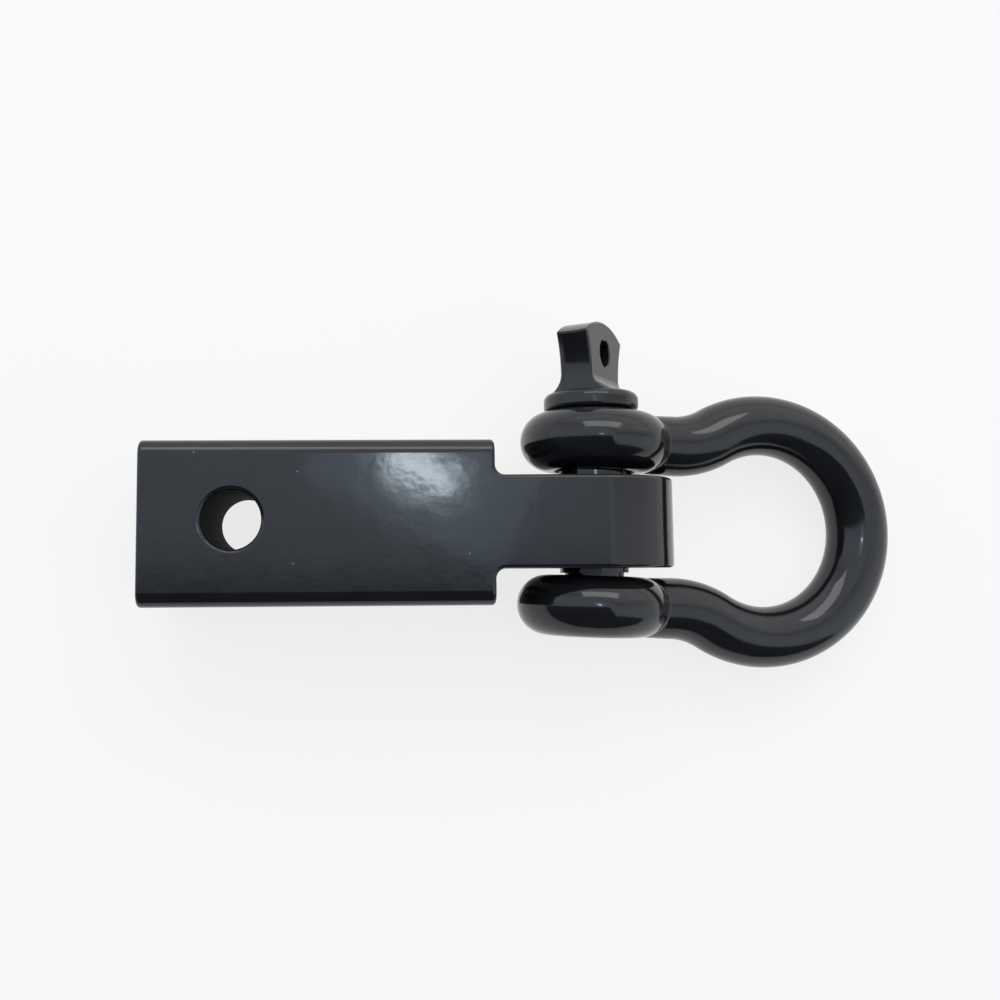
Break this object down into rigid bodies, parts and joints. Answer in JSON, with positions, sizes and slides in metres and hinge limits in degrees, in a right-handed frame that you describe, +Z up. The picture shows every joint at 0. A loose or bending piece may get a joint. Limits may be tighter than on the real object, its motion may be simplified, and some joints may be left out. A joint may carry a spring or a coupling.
{
  "type": "hitch receiver shackle mount",
  "caption": "Solid square receiver shank with a cross pin bore and a rounded tongue that carries a bow shackle on a screw pin with an eye head.",
  "frame": {"origin": "centre of the receiver pin bore, halfway through the shank", "axes": "+X along the shank from the receiver pin bore towards the shackle, +Z up along the receiver pin bore, +Y along the shackle pin towards its eye head"},
  "size_m": [0.2465, 0.1136, 0.0508],
  "materials": {
    "shank_coat": "gloss black powder coat with slight orange peel",
    "bow_coat": "gloss black coat over a forging",
    "pin_coat": "gloss black coat"
  },
  "bodies": {
    "shank": {"receiver_shank": "shank_coat"},
    "bow": {"shackle_bow": "bow_coat"},
    "pin": {"shackle_pin": "pin_coat"}
  },
  "joints": [
    {"name": "shackle_swing", "type": "hinge", "parent": "shank", "child": "bow", "pos_m": [0.1146, -0.0009, 0], "axis": [0, -1, 0], "range_deg": [-112, 130]},
    {"name": "pin_withdraw", "type": "slide", "parent": "bow", "child": "pin", "axis": [0, 1, 0], "range_m": [0, 0.08]}
  ]
}
